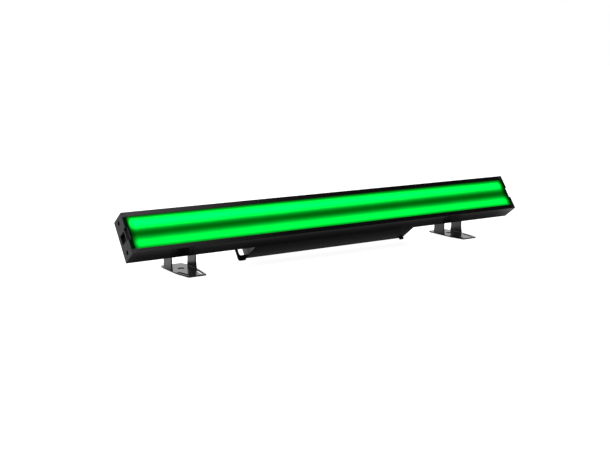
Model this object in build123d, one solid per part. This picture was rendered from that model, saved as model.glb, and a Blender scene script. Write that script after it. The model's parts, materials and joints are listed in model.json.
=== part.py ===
"""LED strip batten: a metre-long two-row wash bar on a pair of tilting floor feet.

The bar is drawn upright in its own axes and then tilted back about the hinge line:
    x  along the bar, zero at the middle, the left end negative
    d  depth, zero at the front face and growing towards the rear
    w  height up the front face, zero at its lower edge
The finished frame has +X along the bar, -Y in front, +Z up and the floor at z = 0.
"""

from build123d import *
import os

# ---- driving dimensions, millimetres -------------------------------------------------

LENGTH = 1000.0          # over both end caps
FACE = 90.0              # height of the front face
DEPTH = 42.0             # front face to rear wall
TILT = 36.6              # lean of the face back from upright, degrees

CAP = 10.0               # thickness of an end cap
WALL = 2.0               # extrusion wall
LIP = 1.8                # front lip thickness
LIP_WIDTH = 10.0         # front lip width, above and below the lens
EDGE = 0.8               # rounding on the bar's long corners
LENS = 2.5               # lens thickness
FIT = 0.1                # gap between pieces that are assembled face to face

ROW_OFFSET = 23.0        # LED rows lie this far above and below the middle
LED_PITCH = 20.0
LED_COUNT = 48
LED_SIZE = 5.0
LED_HEIGHT = 1.6
BOARD = 1.6              # thickness of every circuit board
LED_BOARD_WIDTH = 18.0

BOX_LENGTH = 422.0       # rear control housing
BOX_DEPTH = 44.5         # tray, behind the bar's rear wall
SEAM = 0.8               # open joint between tray and cover
COVER_DEPTH = 7.3        # cover rim
SHEET = 1.5              # housing sheet thickness

FOOT_X = 360.0           # feet, each side of the middle
HINGE_HEIGHT = 55.5      # hinge axis above the floor
HINGE_BEHIND = 31.5      # hinge axis behind the bar's rear wall
PLATE = 3.0              # bracket plate thickness
FOOT_WIDTH = 57.0        # bracket width over both arms
ARM_WIDTH = 34.0
FOOT_FORWARD = 79.0      # base plate, ahead of the hinge
FOOT_REARWARD = 42.0     # base plate, behind the hinge

STUD_R = 4.0             # clamp knob thread
RUNNING = 0.05           # radial clearance of a pin in its hole
KNOB_R = 14.0

# ---- derived places ------------------------------------------------------------------

MID = FACE / 2
INNER_LENGTH = LENGTH - 2 * CAP
REAR = DEPTH                                  # outside of the bar's rear wall
FLOOR_OF_BAR = DEPTH - WALL                   # inside of the bar's rear wall
LENS_FRONT = LIP + FIT
LENS_BACK = LENS_FRONT + LENS
BOARD_FRONT = FLOOR_OF_BAR - BOARD
TRAY_RIM = REAR + BOX_DEPTH
COVER_RIM = TRAY_RIM + SEAM
COVER_BACK = COVER_RIM + COVER_DEPTH
COVER_INSIDE = COVER_BACK - SHEET
BOX_END = BOX_LENGTH / 2
HINGE_D = REAR + HINGE_BEHIND
LED_ROWS = {"lower": MID - ROW_OFFSET, "upper": MID + ROW_OFFSET}
SIDES = {"left": -1, "right": 1}

# The rounded lower front corner reaches furthest forwards and the feet furthest rearwards,
# and the frame's origin is midway between them on the floor.
CORNER_CENTRE = Vector(0, EDGE - HINGE_D, EDGE - MID).rotate(Axis.X, -TILT)
FRONT_REACH = EDGE - CORNER_CENTRE.Y
HINGE_Y = (FRONT_REACH - FOOT_REARWARD) / 2

ON_BAR = Pos(0, HINGE_Y, HINGE_HEIGHT) * Rot(-TILT, 0, 0) * Pos(0, -HINGE_D, -MID)


# ---- helpers -------------------------------------------------------------------------

def block(x, d, w):
    """A box from its low and high limits along x, d and w."""
    spans = (x, d, w)
    size = [high - low for low, high in spans]
    centre = [(high + low) / 2 for low, high in spans]
    return Pos(*centre) * Box(*size)


def area(d, w):
    """A rectangle of the bar's cross-section, from its limits in d and w."""
    return Pos((d[0] + d[1]) / 2, (w[0] + w[1]) / 2) * Rectangle(d[1] - d[0], w[1] - w[0])


def along_bar(section, x):
    """A cross-section in d and w, drawn out from one x to another."""
    return extrude(Plane.YZ.offset(x[0]) * section, x[1] - x[0])


def rod_x(radius, x, d, w):
    """A round rod along the bar, from one x to another."""
    return along_bar(Pos(d, w) * Circle(radius), x)


def rod_d(radius, d, x, w):
    """A round rod through the depth, from one d to another."""
    return Pos(x, (d[0] + d[1]) / 2, w) * Rot(90, 0, 0) * Cylinder(radius, d[1] - d[0])


def hexagon_d(across_flats, d, x, w):
    """A hexagonal rod through the depth, from one d to another."""
    flat = RegularPolygon(across_flats / 2, 6, major_radius=False)
    return extrude(Plane.XZ.offset(-d[1]) * Pos(x, w) * flat, d[1] - d[0])


def hexagon_x(across_flats, x, d, w):
    """A hexagonal rod along the bar, from one x to another."""
    flat = RegularPolygon(across_flats / 2, 6, major_radius=False)
    return along_bar(Pos(d, w) * flat, x)


def mirrored(shape):
    """The same piece on the other side of the bar's middle."""
    return mirror(shape, about=Plane.YZ)


def ring_of(shape, count):
    """Copies of a section turned evenly about its origin."""
    return Sketch() + [Rot(0, 0, 360 / count * i) * shape for i in range(count)]


def spread(count, pitch):
    """Evenly spaced places about zero."""
    return [(i - (count - 1) / 2) * pitch for i in range(count)]


# ---- the bar -------------------------------------------------------------------------

PORT_R = 2.8             # screw port that takes an end cap screw
PORT_BORE = 1.4
PORT_W = 13.0            # port centre, in from each side wall's outer face
PORT_D = DEPTH / 2
RAIL = 1.4               # rail behind the lens
RAIL_REACH = 2.5
FEED_R = 8.0             # wiring hole in the bar's rear wall
NUT_HOLE_R = 2.0         # hole for each screw into the bar's rear wall


def yoke_screw_places():
    """The x and w of the four screws of one yoke mount, about its middle."""
    return [(x, MID + w) for x in (-13, 13) for w in (-19, 19)]


def box_screw_places():
    """The x and w of the screws that hold the control housing to the bar."""
    return [(x, MID + w) for x in (-190, -70, 70, 190) for w in (-6, 6)]


def rear_wall_holes():
    """Holes through the bar's rear wall for screws and wiring."""
    through = (FLOOR_OF_BAR - 1, REAR + 1)
    holes = [rod_d(NUT_HOLE_R, through, x, w) for x, w in box_screw_places()]
    for side in SIDES.values():
        for x, w in yoke_screw_places():
            holes.append(rod_d(NUT_HOLE_R, through, side * FOOT_X + x, w))
    holes.append(rod_d(FEED_R, through, 0, MID))
    return holes


def screw_port():
    """A C-shaped port on a web from the lower side wall."""
    web = area((PORT_D - 1, PORT_D + 1), (WALL - 0.5, PORT_W))
    return Pos(PORT_D, PORT_W) * Circle(PORT_R) + web - Pos(PORT_D, PORT_W) * Circle(PORT_BORE)


def extrusion_section():
    outer = fillet(area((0, DEPTH), (0, FACE)).vertices(), EDGE)
    hollow = area((LIP, FLOOR_OF_BAR), (WALL, FACE - WALL))
    window = area((-1, LIP + 1), (LIP_WIDTH, FACE - LIP_WIDTH))
    rail = area((LENS_BACK + FIT, LENS_BACK + FIT + RAIL), (WALL - 0.5, WALL + RAIL_REACH))
    lower = rail + screw_port()
    upper = Pos(0, FACE) * mirror(lower, about=Plane.XZ)
    return outer - hollow - window + lower + upper


def housing_extrusion():
    half = INNER_LENGTH / 2
    return along_bar(extrusion_section(), (-half, half)) - rear_wall_holes()


def diffuser_lens():
    half = INNER_LENGTH / 2 - FIT
    gap = WALL + 0.3
    return block((-half, half), (LENS_FRONT, LENS_BACK), (gap, FACE - gap))


# ---- end caps ------------------------------------------------------------------------

CAP_WALL = 3.0
CAP_SCREW_SINK = 6.5     # depth of the recess over each screw head
CAP_SCREW_RECESS_R = 4.8
CAP_BOSS_R = 6.5         # post inside the cap round each screw
CAP_SCREW_HEAD_R = 3.0
CAP_SCREW_HEAD = 2.4
CAP_SCREW_LENGTH = 16.0
CAP_SCREW_R = 1.4
POCKET_D = (9.0, 32.0)   # joining pocket in the cap's outer face
POCKET_W = (33.5, 53.5)
POCKET_DEPTH = 7.5
NOTCH_W = (31.0, 57.0)   # relief across the cap's front edge
NOTCH_D = 7.0
NOTCH_DEPTH = 4.5


def grown(span, by):
    """A span widened at both ends."""
    return (span[0] - by, span[1] + by)


def cap_hollow(face, inner):
    """The space inside a cap, behind its outer wall and around its bosses."""
    hollow = block((face + CAP_WALL, inner + 1), (CAP_WALL, DEPTH - CAP_WALL),
                   (CAP_WALL, FACE - CAP_WALL))
    solid = [rod_x(CAP_BOSS_R, (face, inner), PORT_D, w) for w in (PORT_W, FACE - PORT_W)]
    solid.append(block((face, face + POCKET_DEPTH + 2), grown(POCKET_D, 2), grown(POCKET_W, 2)))
    solid.append(block((face, face + NOTCH_DEPTH + 2), (0, NOTCH_D + 2), grown(NOTCH_W, 2)))
    return hollow - solid


def end_cap_left():
    face = -LENGTH / 2
    inner = face + CAP
    section = fillet(area((0, DEPTH), (0, FACE)).vertices(), EDGE)
    cap = along_bar(section, (face, inner))
    rim = cap.faces().sort_by(Axis.X)[0].edges()
    cap = chamfer(rim, EDGE) - cap_hollow(face, inner)
    for w in (PORT_W, FACE - PORT_W):
        cap -= rod_x(CAP_SCREW_RECESS_R, (face - 1, face + CAP_SCREW_SINK), PORT_D, w)
        cap -= rod_x(CAP_SCREW_R + 0.3, (face, inner + 1), PORT_D, w)
    cap -= block((face - 1, face + POCKET_DEPTH), POCKET_D, POCKET_W)
    cap -= block((face - 1, face + NOTCH_DEPTH), (-1, NOTCH_D), NOTCH_W)
    return cap


def end_cap_screws():
    """Four recessed cross-head screws, two at each end."""
    seat = -LENGTH / 2 + CAP_SCREW_SINK
    screws = []
    for w in (PORT_W, FACE - PORT_W):
        head = rod_x(CAP_SCREW_HEAD_R, (seat - CAP_SCREW_HEAD, seat), PORT_D, w)
        head = chamfer(head.edges().sort_by(Axis.X)[0], 0.6)
        head -= block((seat - CAP_SCREW_HEAD, seat - 1), grown((PORT_D, PORT_D), 0.4), grown((w, w), 1.8))
        head -= block((seat - CAP_SCREW_HEAD, seat - 1), grown((PORT_D, PORT_D), 1.8), grown((w, w), 0.4))
        screws.append(head + rod_x(CAP_SCREW_R, (seat, seat + CAP_SCREW_LENGTH), PORT_D, w))
    return screws + [mirrored(screw) for screw in screws]


# ---- light engine --------------------------------------------------------------------

TROUGH_EDGE = 9.5        # outer edge of a reflector trough at the lens
TROUGH_FLOOR = 4.5       # half the width of a trough's floor, at the LEDs
TROUGH_RIM = LENS_BACK + FIT + RAIL + 0.3
TRAY_SHEET = 1.0
TRAY_FLOOR = BOARD_FRONT - 0.2 - TRAY_SHEET
RIDGE_HALF = 0.6         # half the width of the ridge between the troughs, at the lens


def trough_space():
    """The open space of the lower reflector trough, in cross-section."""
    row = LED_ROWS["lower"]
    outer_wall = row - TROUGH_FLOOR
    inner_wall = row + TROUGH_FLOOR
    outer_rim = (TROUGH_RIM, TROUGH_EDGE)
    inner_rim = (TROUGH_RIM, MID - RIDGE_HALF)
    above = TROUGH_RIM - 2
    bend_d = 24.0
    path = [
        Line((TRAY_FLOOR, outer_wall), (bend_d, outer_wall)),
        ThreePointArc((bend_d, outer_wall), (14.0, outer_wall - 1.8), outer_rim),
        Line(outer_rim, (above, TROUGH_EDGE)),
        Line((above, TROUGH_EDGE), (above, MID - RIDGE_HALF)),
        Line((above, MID - RIDGE_HALF), inner_rim),
        ThreePointArc(inner_rim, (13.0, inner_wall + 8.0), (bend_d, inner_wall)),
        Line((bend_d, inner_wall), (TRAY_FLOOR, inner_wall)),
        Line((TRAY_FLOOR, inner_wall), (TRAY_FLOOR, outer_wall)),
    ]
    return make_face(Curve() + path)


def reflector_tray():
    """Formed white sheet: two troughs, with a window for every LED."""
    lower_space = trough_space()
    upper_space = Pos(0, FACE) * mirror(lower_space, about=Plane.XZ)
    spaces = lower_space + upper_space
    skin = offset(lower_space, TRAY_SHEET) + offset(upper_space, TRAY_SHEET)
    section = skin - spaces - area((-5, TROUGH_RIM), (0, FACE))
    half = INNER_LENGTH / 2 - 1
    tray = along_bar(section, (-half, half))
    window = LED_SIZE / 2 + 0.4
    through = (TRAY_FLOOR - 1, BOARD_FRONT)
    holes = [
        block(grown((x, x), window), through, grown((w, w), window))
        for w in LED_ROWS.values()
        for x in spread(LED_COUNT, LED_PITCH)
    ]
    return tray - holes


BOARD_SCREW_HEAD_R = 1.6


def board_screw_places():
    """The x and w of the LED boards' screws, on the margin nearest the bar's middle."""
    offset_w = ROW_OFFSET - 7.4
    return [(x, MID + side * offset_w) for side in SIDES.values() for x in spread(6, 8 * LED_PITCH)]


def led_board(row):
    half = INNER_LENGTH / 2 - 8
    w = LED_ROWS[row]
    board = block((-half, half), (BOARD_FRONT, FLOOR_OF_BAR), grown((w, w), LED_BOARD_WIDTH / 2))
    through = (BOARD_FRONT - 1, FLOOR_OF_BAR + 1)
    return board - [rod_d(1.1, through, x, screw_w) for x, screw_w in board_screw_places()]


def led_chips(row):
    w = LED_ROWS[row]
    half = LED_SIZE / 2
    return [
        block(grown((x, x), half), (BOARD_FRONT - LED_HEIGHT, BOARD_FRONT), grown((w, w), half))
        for x in spread(LED_COUNT, LED_PITCH)
    ]


def led_board_screws():
    screws = []
    for x, w in board_screw_places():
        head = rod_d(BOARD_SCREW_HEAD_R, (BOARD_FRONT - 1.2, BOARD_FRONT), x, w)
        screws.append(head + rod_d(1.0, (BOARD_FRONT, FLOOR_OF_BAR), x, w))
    return screws


# ---- rear control housing ------------------------------------------------------------

CORNER = 1.5             # outside radius of the housing's folded corners
LIP_REACH = 2.4          # lip of the tray that enters the cover
SOCKET_D = REAR + BOX_DEPTH / 2
SOCKET_WS = {"power": 33.5, "data": 68.0}
SOCKET_HOLE_R = 12.0
SOCKET_BARREL_R = 11.8
FLANGE_D = 26.0          # panel connector flange, across and along
FLANGE_W = 31.0
FLANGE = 2.0
SOCKET_SCREW_D = 19.0 / 2
SOCKET_SCREW_W = 24.0 / 2
COVER_POST_PLACES = [(x, w) for x in (-198, 0, 198) for w in (6, FACE - 6)]


def shell_section(inset):
    """Rounded outline of the housing, inset from its outside, in x and w."""
    outline = RectangleRounded(BOX_LENGTH - 2 * inset, FACE - 2 * inset, max(CORNER - inset, 0.4))
    return Pos(0, MID) * outline


def through_depth(section, d):
    """A section in x and w, drawn out from one d to another."""
    return extrude(Plane.XZ.offset(-d[1]) * section, d[1] - d[0])


def socket_holes():
    """Round holes and screw holes for the sockets in both end walls."""
    holes = []
    for side in SIDES.values():
        wall = sorted((side * (BOX_END + 1), side * (BOX_END - 5)))
        for w in SOCKET_WS.values():
            holes.append(rod_x(SOCKET_HOLE_R, wall, SOCKET_D, w))
            for d, screw_w in socket_screw_places(w):
                holes.append(rod_x(1.3, wall, d, screw_w))
    holes.append(latch_slot((BOX_END - 5, BOX_END + 1)))
    return holes


def socket_screw_places(w):
    """A D-size connector is held by two screws on a diagonal."""
    return [(SOCKET_D - SOCKET_SCREW_D, w + SOCKET_SCREW_W), (SOCKET_D + SOCKET_SCREW_D, w - SOCKET_SCREW_W)]


def rear_housing():
    outside = through_depth(shell_section(0), (REAR, TRAY_RIM))
    inside = through_depth(shell_section(SHEET), (REAR + SHEET, COVER_RIM + 10))
    lip = through_depth(shell_section(SHEET + 0.2), (TRAY_RIM - 4, COVER_RIM + LIP_REACH))
    lip -= through_depth(shell_section(SHEET + 1.2), (TRAY_RIM - 5, COVER_RIM + LIP_REACH + 1))
    joggle = through_depth(shell_section(SHEET - 0.3), (TRAY_RIM - 4, TRAY_RIM - 0.5))
    joggle -= through_depth(shell_section(SHEET + 0.5), (TRAY_RIM - 5, TRAY_RIM))
    tray = outside - inside + lip + joggle
    through = (REAR - 1, REAR + SHEET + 1)
    holes = [rod_d(NUT_HOLE_R, through, x, w) for x, w in box_screw_places()]
    holes.append(rod_d(FEED_R, through, 0, MID))
    return tray - holes - socket_holes()


def rear_housing_screws():
    seat = REAR + SHEET
    screws = []
    for x, w in box_screw_places():
        head = rod_d(3.2, (seat, seat + 2.2), x, w)
        screws.append(head + rod_d(NUT_HOLE_R - RUNNING, (FLOOR_OF_BAR - 1.5, seat), x, w))
    return screws


def cover_posts():
    """Hexagonal posts between the tray's floor and the cover."""
    posts = []
    for x, w in COVER_POST_PLACES:
        post = hexagon_d(6.0, (REAR + SHEET, COVER_INSIDE), x, w)
        posts.append(post - rod_d(1.3, (COVER_INSIDE - 12, COVER_INSIDE + 1), x, w))
    return posts


def cover_screws():
    """Cross-head screws into the posts; the two at the safety eyelet clamp it to the cover."""
    screws = [cover_screw(x, w, COVER_BACK, COVER_INSIDE - 10) for x, w in COVER_POST_PLACES[1:]]
    return screws + [cover_screw(x, w, EYELET_D[1], COVER_INSIDE - 5) for x, w in EYELET_SCREW_PLACES]


def cover_screw(x, w, seat, tip):
    head = rod_d(2.8, (seat, seat + 1.8), x, w)
    head = fillet(head.edges().sort_by(Axis.Y)[-1], 0.8)
    slot = (seat + 1.0, seat + 2)
    head -= block(grown((x, x), 0.4), slot, grown((w, w), 1.6))
    head -= block(grown((x, x), 1.6), slot, grown((w, w), 0.4))
    return head + rod_d(1.3 - RUNNING, (tip, seat), x, w)


# ---- control panel on the rear cover -------------------------------------------------

PANEL_X = 0.0
WINDOW_HALF = 26.0       # display window, half its length
WINDOW_WS = (44.0, 62.0)
BUTTON_W = 30.0
BUTTON_PITCH = 17.0
BUTTON_COUNT = 4
BUTTON_R = 4.0
BUTTON_GAP = 0.3
BUTTON_STAND = 1.6       # how far a button stands out of the panel
BUTTON_TRAVEL = 1.0
CONTROL_BOARD_D = COVER_INSIDE - 9.0
FUSE_X = -174.0
FUSE_W = 45.0
FUSE_R = 6.0
EYELET_D = (COVER_BACK, COVER_BACK + 2.5)
EYELET_X = (-BOX_END - 17.5, -187.0)
EYELET_W = (-2.7, 36.0)
EYELET_FOOT_W = 1.5      # lower edge where it lies on the cover
EYELET_SLOT_X = (EYELET_X[0] + 6.0, -BOX_END + 0.5)
EYELET_SLOT_W = (9.0, 31.0)
EYELET_SCREW_PLACES = [COVER_POST_PLACES[0], (COVER_POST_PLACES[0][0], 28.0)]


def rear_cover():
    cover = through_depth(shell_section(0), (COVER_RIM, COVER_BACK))
    cover = fillet(cover.faces().sort_by(Axis.Y)[-1].edges(), 0.9)
    cover -= through_depth(shell_section(SHEET), (COVER_RIM - 1, COVER_INSIDE))
    through = (COVER_INSIDE - 1, COVER_BACK + 1)
    holes = [rod_d(1.6, through, x, w) for x, w in COVER_POST_PLACES[1:] + EYELET_SCREW_PLACES]
    holes += [rod_d(BUTTON_R + BUTTON_GAP, through, x, BUTTON_W) for x in button_xs()]
    holes.append(block(grown((PANEL_X, PANEL_X), WINDOW_HALF), through, WINDOW_WS))
    holes.append(rod_d(FUSE_R + 0.1, through, FUSE_X, FUSE_W))
    return cover - holes


def button_xs():
    return [PANEL_X + x for x in spread(BUTTON_COUNT, BUTTON_PITCH)]


def menu_button(x):
    """Round push button: a cap through the cover, a flange inside and a stem to its switch."""
    flange_top = COVER_INSIDE - BUTTON_GAP
    cap = rod_d(BUTTON_R, (flange_top - 1, COVER_BACK + BUTTON_STAND), x, BUTTON_W)
    cap = fillet(cap.edges().sort_by(Axis.Y)[-1], 0.7)
    flange = rod_d(BUTTON_R + 1.2, (flange_top - 1, flange_top), x, BUTTON_W)
    stem = rod_d(1.5, (CONTROL_BOARD_D - 4.0, flange_top - 1), x, BUTTON_W)
    return cap + flange + stem


def tact_switches():
    """One switch under each button, with a well that the button's stem enters."""
    top = CONTROL_BOARD_D - 3.6
    bodies = []
    for x in button_xs():
        body = block(grown((x, x), 3.0), (CONTROL_BOARD_D - 6.0, top), grown((BUTTON_W, BUTTON_W), 3.0))
        bodies.append(body - rod_d(1.9, (top - 1.9, top + 1), x, BUTTON_W))
    return bodies


def control_board():
    """Board under the panel, carried by the switches' own legs and four spacers."""
    face = CONTROL_BOARD_D - 6.0
    return block(grown((PANEL_X, PANEL_X), 42), (face - BOARD, face), (22, 68))


def board_spacers():
    """Tubes between the control board and the cover."""
    face = CONTROL_BOARD_D - 6.0
    tubes = []
    for x in (-38, 38):
        for w in (26, 64):
            tube = rod_d(2.6, (face, COVER_INSIDE), PANEL_X + x, w)
            tubes.append(tube - rod_d(1.3, (face - 1, COVER_INSIDE + 1), PANEL_X + x, w))
    return tubes


def display_module():
    face = CONTROL_BOARD_D - 6.0
    return block(grown((PANEL_X, PANEL_X), 24), (face, COVER_INSIDE - 1.4), (45.5, 60.5))


def display_window():
    """Smoked window with a flange behind the cover."""
    pane = block(grown((PANEL_X, PANEL_X), WINDOW_HALF - FIT), (COVER_INSIDE - 1, COVER_BACK - 0.3),
                 grown(WINDOW_WS, -FIT))
    rim = block(grown((PANEL_X, PANEL_X), WINDOW_HALF + 2), (COVER_INSIDE - 1, COVER_INSIDE),
                grown(WINDOW_WS, 2))
    return pane + rim


def fuse_holder():
    """Panel fuse holder: a tube through the cover with a collar outside and a nut inside."""
    tube = rod_d(FUSE_R, (COVER_INSIDE - 28, COVER_BACK), FUSE_X, FUSE_W)
    collar = rod_d(FUSE_R + 1.5, (COVER_BACK, COVER_BACK + 1.5), FUSE_X, FUSE_W)
    nut = hexagon_d(17.0, (COVER_INSIDE - 4, COVER_INSIDE), FUSE_X, FUSE_W)
    bore = rod_d(4.3, (COVER_INSIDE - 26, COVER_BACK + 2), FUSE_X, FUSE_W)
    return tube + collar + nut - bore


def fuse_cap():
    """Slotted bayonet cap that draws the fuse out with it."""
    base = COVER_BACK + 1.7
    head = rod_d(6.2, (base, base + 3.5), FUSE_X, FUSE_W)
    head = chamfer(head.edges().sort_by(Axis.Y)[-1], 0.6)
    head -= block(grown((FUSE_X, FUSE_X), 4.5), (base + 2.2, base + 4), grown((FUSE_W, FUSE_W), 0.6))
    skirt = rod_d(4.2, (base - 5, base), FUSE_X, FUSE_W)
    return head + skirt - rod_d(2.7, (base - 6, base - 1), FUSE_X, FUSE_W)


def fuse():
    base = COVER_BACK + 1.7
    return rod_d(2.6, (base - 21, base - 1), FUSE_X, FUSE_W)


# ---- end sockets ---------------------------------------------------------------------

BARREL_LENGTH = 22.0
DATA_CUP_R = 9.6
DATA_CUP_DEPTH = 14.0
PIN_CIRCLE_R = 6.6
PIN_R = 1.2
POWER_CUP_R = 10.0
POWER_CUP_DEPTH = 17.0
POWER_CORE_R = 4.6
LATCH_GAP = 0.3
LATCH_HALF = 3.5         # half the width of the latch button
LATCH_THICK = 4.0        # size of the latch button up the socket
LATCH_W = SOCKET_WS["data"] + 11.9
LATCH_STAND = 2.5


def socket_blank(w):
    """Flange and barrel of a connector in the left end wall, before its face is cut."""
    outside = -BOX_END
    plate = Pos(SOCKET_D, w) * RectangleRounded(FLANGE_D, FLANGE_W, 3)
    flange = along_bar(plate, (outside - FLANGE, outside))
    barrel = rod_x(SOCKET_BARREL_R, (outside, outside + BARREL_LENGTH), SOCKET_D, w)
    screws = [rod_x(1.3, (outside - FLANGE - 1, outside + 1), d, sw) for d, sw in socket_screw_places(w)]
    return flange + barrel - screws


def power_socket():
    """Twist-lock cup with a contact core and two locking recesses."""
    w = SOCKET_WS["power"]
    mouth = -BOX_END - FLANGE
    cup = rod_x(POWER_CUP_R, (mouth - 1, mouth + POWER_CUP_DEPTH), SOCKET_D, w)
    core = rod_x(POWER_CORE_R, (mouth + 2, mouth + POWER_CUP_DEPTH), SOCKET_D, w)
    for angle in range(0, 360, 120):
        slot = Pos(SOCKET_D, w) * Rot(0, 0, angle) * Pos(2.6, 0) * Rectangle(1.6, 2.6)
        core -= along_bar(slot, (mouth + 1, mouth + 12))
    recess = block((mouth - 1, mouth + 6), grown((SOCKET_D, SOCKET_D), 11.0), grown((w, w), 2.0))
    return socket_blank(w) - cup - recess + core


def data_pin_places(w):
    """Three contacts at a third of a turn, the odd one at the bottom."""
    return [Vector(0, -PIN_CIRCLE_R, 0).rotate(Axis.Z, a) + Vector(SOCKET_D, w, 0) for a in (0, 120, 240)]


def data_inlet():
    """Cup that surrounds three pins."""
    w = SOCKET_WS["data"]
    mouth = -BOX_END - FLANGE
    body = socket_blank(w) - rod_x(DATA_CUP_R, (mouth - 1, mouth + DATA_CUP_DEPTH), SOCKET_D, w)
    for place in data_pin_places(w):
        body -= rod_x(PIN_R, (mouth + DATA_CUP_DEPTH - 1, mouth + DATA_CUP_DEPTH + 5), place.X, place.Y)
    return body


def data_inlet_pins():
    w = SOCKET_WS["data"]
    mouth = -BOX_END - FLANGE
    pins = []
    for place in data_pin_places(w):
        pin = rod_x(PIN_R, (mouth + 2.5, mouth + DATA_CUP_DEPTH + 5), place.X, place.Y)
        pins.append(fillet(pin.edges().sort_by(Axis.X)[0], 0.8))
    return pins


def data_outlet():
    """Female face: a round island with three contact holes, a ring gap and a latch slot."""
    w = SOCKET_WS["data"]
    mouth = -BOX_END - FLANGE
    ring = rod_x(DATA_CUP_R, (mouth - 1, mouth + DATA_CUP_DEPTH), SOCKET_D, w)
    ring -= rod_x(DATA_CUP_R - 1.3, (mouth - 1, mouth + DATA_CUP_DEPTH), SOCKET_D, w)
    body = socket_blank(w) - ring
    for place in data_pin_places(w):
        body -= rod_x(PIN_R + 0.2, (mouth - 1, mouth + 12), place.X, place.Y)
    return mirrored(body) - latch_slot((-mouth - 7, -mouth + 1))


def latch_slot(x):
    """Clearance around the latch button, at the right-hand end."""
    across = grown((SOCKET_D, SOCKET_D), LATCH_HALF + LATCH_GAP)
    return block(x, across, grown((LATCH_W, LATCH_W), LATCH_THICK / 2 + LATCH_GAP))


def data_latch_button():
    """Thumb tab that frees the plug, in its slot over the female socket."""
    mouth = BOX_END + FLANGE
    tab = block((mouth - 4.5, mouth + LATCH_STAND), grown((SOCKET_D, SOCKET_D), LATCH_HALF),
                grown((LATCH_W, LATCH_W), LATCH_THICK / 2))
    return fillet(tab.edges().group_by(Axis.X)[-1], 0.6)


def socket_screws():
    screws = []
    seat = -BOX_END - FLANGE
    for w in SOCKET_WS.values():
        for d, screw_w in socket_screw_places(w):
            head = rod_x(2.4, (seat - 1.4, seat), d, screw_w)
            head = chamfer(head.edges().sort_by(Axis.X)[0], 0.5)
            screws.append(head + rod_x(1.3 - RUNNING, (seat, seat + 9), d, screw_w))
    return screws + [mirrored(screw) for screw in screws]


# ---- electronics inside the housing --------------------------------------------------

SUPPLY_X = (55.0, 182.0)
SUPPLY_W = (14.0, 76.0)
SUPPLY_HEIGHT = 33.0
SUPPLY_STAND = 4.0
DRIVER_X = (-160.0, -45.0)
DRIVER_STAND = 5.0


def power_supply():
    """Closed power supply with a row of vent slots in its lid."""
    base = REAR + SHEET + SUPPLY_STAND
    top = base + SUPPLY_HEIGHT
    case = block(SUPPLY_X, (base, top), SUPPLY_W)
    case = fillet(case.edges().filter_by(Axis.Y), 1.5)
    middle = sum(SUPPLY_X) / 2
    slots = [block(grown((middle + x, middle + x), 1.2), (top - 1.2, top + 1), grown((MID, MID), 18))
             for x in spread(14, 7.0)]
    return case - slots


def driver_board():
    face = REAR + SHEET + DRIVER_STAND
    return block(DRIVER_X, (face, face + BOARD), (15, 75))


def driver_components():
    """Coils, capacitors and transistors, each standing on the driver board."""
    face = REAR + SHEET + DRIVER_STAND + BOARD
    left = DRIVER_X[0]
    parts = [rod_d(5.0, (face, face + 16), left + x, 62) for x in (17, 33)]
    parts += [rod_d(7.0, (face, face + 9), left + x, 32) for x in (21, 44, 67, 90)]
    parts += [block((left + x, left + x + 10), (face, face + 4.5), (46, 56)) for x in (51, 65, 79, 93)]
    parts.append(block((left + 51, left + 75), (face, face + 3), (61, 71)))
    return parts


def mounting_pillars():
    """Pillars under the driver board and the power supply."""
    floor = REAR + SHEET
    driver_ends = grown(DRIVER_X, -5)
    supply_ends = grown(SUPPLY_X, -7)
    pillars = [rod_d(2.6, (floor, floor + DRIVER_STAND), x, w) for x in driver_ends for w in (20, 70)]
    pillars += [rod_d(3.0, (floor, floor + SUPPLY_STAND), x, w) for x in supply_ends for w in (20, 70)]
    return pillars


GROMMET_FLANGE = 1.5


def cable_grommet():
    """Rubber grommet through both rear walls."""
    low = FLOOR_OF_BAR
    high = REAR + SHEET
    sleeve = rod_d(FEED_R, (low, high), 0, MID)
    sleeve += rod_d(FEED_R + 2, (high, high + GROMMET_FLANGE), 0, MID)
    return sleeve - rod_d(6.2, (low - 1, high + GROMMET_FLANGE + 1), 0, MID)


def led_feed_cable():
    """Ribbon from the driver board through the grommet, branching to both LED boards."""
    thick = 1.2
    flat = grown((MID, MID), 5.0)
    half = (-thick / 2, thick / 2)
    bridge = block((-5, 5), (BOARD_FRONT - 1.4, BOARD_FRONT), (28.6, FACE - 28.6))
    crest = REAR + SHEET + 24
    end_x = DRIVER_X[1] - 4
    trunk = block(half, (BOARD_FRONT - 0.2, crest), flat)
    run = block((end_x, thick / 2), (crest - thick, crest), flat)
    drop = block((end_x, end_x + thick), (REAR + SHEET + DRIVER_STAND + BOARD, crest), flat)
    return bridge + trunk + run + drop


def supply_cable():
    """Lead from the power supply to the driver board, past the grommet."""
    d = REAR + SHEET + 14
    w = 20.0
    end_x = DRIVER_X[1] - 12
    run = block((end_x, SUPPLY_X[0]), grown((d, d), 1.5), grown((w, w), 2.5))
    drop = block((end_x, end_x + 3), (REAR + SHEET + DRIVER_STAND + BOARD, d), grown((w, w), 2.5))
    return run + drop


def eyelet_outline():
    """Flat safety eyelet in x and w: a slotted loop beyond the housing and a foot on its cover."""
    left, right = EYELET_X
    low, high = EYELET_W
    step = -BOX_END + 3
    corners = [(left, low), (step - 4, low), (step, EYELET_FOOT_W), (right, EYELET_FOOT_W),
               (right, high), (left, high)]
    plate = make_face(Polyline(*corners, close=True))
    plate = fillet(plate.vertices().group_by(Axis.X)[0], 5.0)
    plate = fillet(plate.vertices().group_by(Axis.X)[-1], 3.0)
    slot_x = sum(EYELET_SLOT_X) / 2
    slot_w = sum(EYELET_SLOT_W) / 2
    slot_size = (EYELET_SLOT_X[1] - EYELET_SLOT_X[0], EYELET_SLOT_W[1] - EYELET_SLOT_W[0])
    return plate - Pos(slot_x, slot_w) * RectangleRounded(*slot_size, 3.5)


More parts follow.
